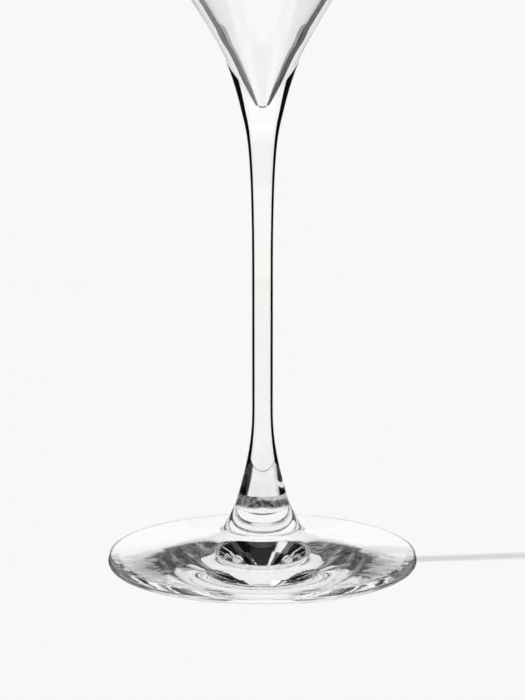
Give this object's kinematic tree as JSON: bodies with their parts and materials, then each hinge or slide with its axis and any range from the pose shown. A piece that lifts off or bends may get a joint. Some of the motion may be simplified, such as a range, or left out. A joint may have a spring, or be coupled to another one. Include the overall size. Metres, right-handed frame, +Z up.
{
  "type": "martini glass",
  "caption": "Clear crystal martini glass: a straight-sided conical bowl on a slender drawn stem that flares into a bell and stands on a gently coned round foot.",
  "frame": {"origin": "on the axis of the glass, at the height of the table that the foot's ring rests on", "axes": "+Z up along the axis of the glass; the glass is round, so X and Y are alike, and the picture is taken from -Y"},
  "size_m": [0.106, 0.106, 0.2064],
  "materials": {
    "bowl_glass": "fire-polished",
    "stem_glass": "fire-polished",
    "foot_glass": "fire-polished"
  },
  "bodies": {
    "root": {"bowl": "bowl_glass", "stem": "stem_glass", "foot": "foot_glass"}
  },
  "joints": []
}
